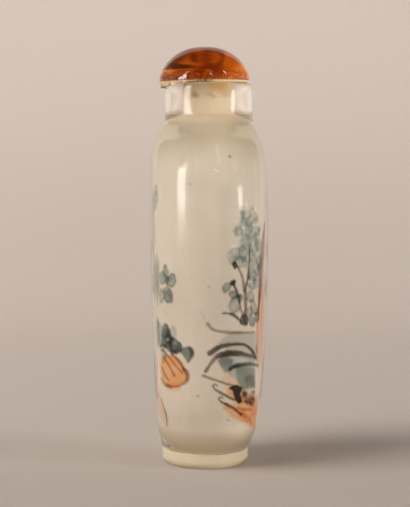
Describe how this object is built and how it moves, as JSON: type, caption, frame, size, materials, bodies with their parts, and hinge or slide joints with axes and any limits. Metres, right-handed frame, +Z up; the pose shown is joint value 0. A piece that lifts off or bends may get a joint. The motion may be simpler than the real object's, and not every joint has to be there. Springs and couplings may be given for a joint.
{
  "type": "snuff bottle",
  "caption": "Flattened hollow glass snuff bottle, frosted and painted inside, on an oval foot, with a short round neck and an amber glass dome stopper on a cork plug.",
  "frame": {"origin": "centre of the body, at the level of the foot's underside", "axes": "+Z up, from the foot to the stopper; the broad painted faces look towards -Y (front) and +Y (back), and the narrow sides towards -X and +X"},
  "size_m": [0.042, 0.0228, 0.08],
  "materials": {
    "clear_glass": "clear polished glass with a faint yellow-green tint, its inner wall ground to a frost and painted",
    "amber_glass": "polished transparent amber glass, with a pebbled, worn band round its base and pale cement below",
    "cork": "matte natural cork"
  },
  "bodies": {
    "root": {"bottle": "clear_glass", "stopper": "amber_glass", "stopper_cork": "cork"}
  },
  "joints": []
}
